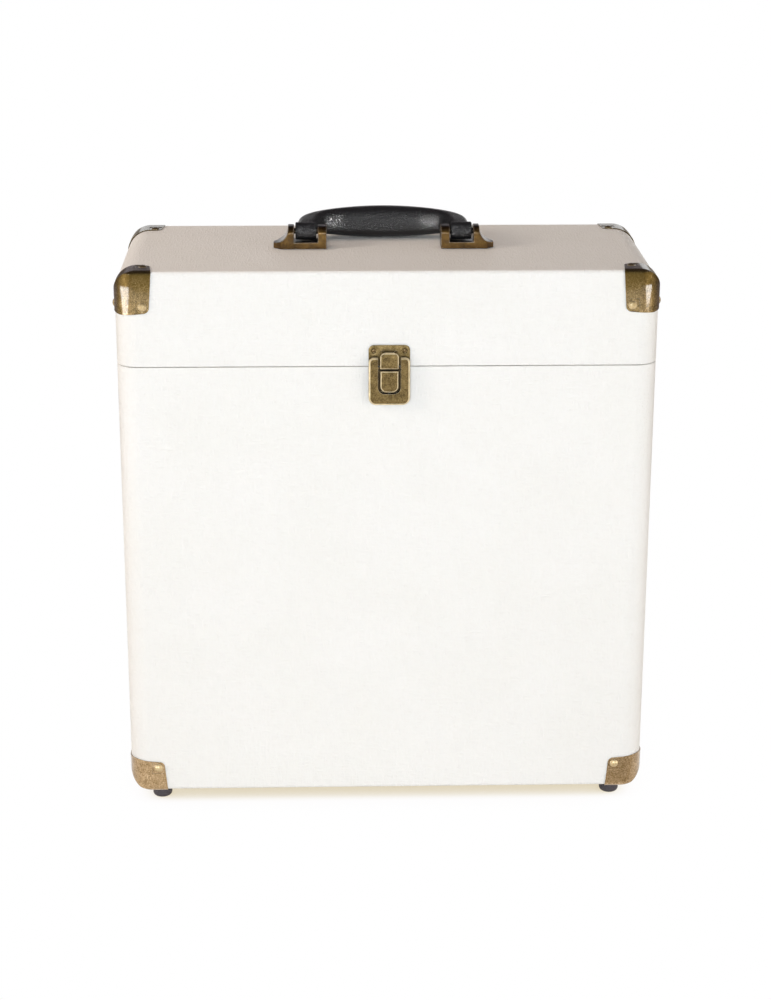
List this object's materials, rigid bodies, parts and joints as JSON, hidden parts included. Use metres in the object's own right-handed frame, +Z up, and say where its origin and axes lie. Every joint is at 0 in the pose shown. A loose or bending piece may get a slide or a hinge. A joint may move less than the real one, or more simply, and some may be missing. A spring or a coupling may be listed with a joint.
{
  "type": "record carrying case",
  "caption": "Upright carrying case for 12-inch records: hinged lid, folding top handle, sprung hasp latch, metal corner caps and rubber feet.",
  "frame": {"origin": "on the floor under the middle of the closed case", "axes": "+X to the right seen from the latch side, +Y to the hinges at the back, +Z up"},
  "size_m": [0.3634, 0.1643, 0.4041],
  "materials": {
    "board": "raw medium-density fibreboard",
    "leatherette": "cream vinyl leatherette, fine linen emboss, matt",
    "lining": "black flocked paper",
    "lip_board": "hardboard strip covered in black flocked paper",
    "antique_brass": "antique brass plate, brushed back on the edges",
    "bracket_bronze": "antique bronze plate on a casting",
    "steel": "plain zinc-plated",
    "grip_plastic": "black, moulded with a leather grain",
    "rubber": "dark grey moulded rubber"
  },
  "bodies": {
    "case": {"body_front_panel": "board", "body_back_panel": "board", "body_left_panel": "board", "body_right_panel": "board", "body_bottom_panel": "board", "body_cover": "leatherette", "body_lining": "lining", "front_lip": "lip_board", "back_lip": "lip_board", "left_lip": "lip_board", "right_lip": "lip_board", "body_corner_front_left": "antique_brass", "body_corner_front_right": "antique_brass", "body_corner_back_left": "antique_brass", "body_corner_back_right": "antique_brass", "body_corner_nails": "antique_brass", "foot_front_left": "rubber", "foot_front_right": "rubber", "foot_back_left": "rubber", "foot_back_right": "rubber", "foot_screws": "steel", "latch_body": "antique_brass", "latch_screws": "steel", "button_spring": "steel", "hinge_left_body_leaf": "antique_brass", "hinge_right_body_leaf": "antique_brass", "hinge_left_pin": "antique_brass", "hinge_right_pin": "antique_brass", "body_hinge_screws": "antique_brass"},
    "lid": {"lid_front_panel": "board", "lid_back_panel": "board", "lid_left_panel": "board", "lid_right_panel": "board", "lid_top_panel": "board", "lid_cover": "leatherette", "lid_lining": "lining", "lid_corner_front_left": "antique_brass", "lid_corner_front_right": "antique_brass", "lid_corner_back_left": "antique_brass", "lid_corner_back_right": "antique_brass", "lid_corner_nails": "antique_brass", "handle_bracket_left": "bracket_bronze", "handle_bracket_right": "bracket_bronze", "handle_pin_left": "steel", "handle_pin_right": "steel", "backing_plates": "steel", "bracket_screws": "steel", "keeper_plate": "antique_brass", "keeper_nails": "antique_brass", "hasp_pin": "steel", "hinge_left_lid_leaf": "antique_brass", "hinge_right_lid_leaf": "antique_brass", "lid_hinge_screws": "antique_brass"},
    "handle": {"handle": "grip_plastic"},
    "hasp": {"hasp": "antique_brass"},
    "button": {"latch_button": "antique_brass"}
  },
  "joints": [
    {"name": "lid_hinge", "type": "hinge", "parent": "case", "child": "lid", "pos_m": [0, 0.0795, 0.31775], "axis": [-1, 0, 0], "range_deg": [0, 100]},
    {"name": "handle_hinge", "type": "hinge", "parent": "lid", "child": "handle", "pos_m": [-0.001, 0, 0.3933], "axis": [1, 0, 0], "range_deg": [0, 180]},
    {"name": "hasp_hinge", "type": "hinge", "parent": "lid", "child": "hasp", "pos_m": [0.0008, -0.07925, 0.3273], "axis": [-1, 0, 0], "range_deg": [0, 100]},
    {"name": "button_slide", "type": "slide", "parent": "case", "child": "button", "axis": [0, 0, -1], "range_m": [0, 0.001], "stiffness_N_per_m": 300, "springref_m": -0.003, "deforming": ["button_spring"]}
  ]
}
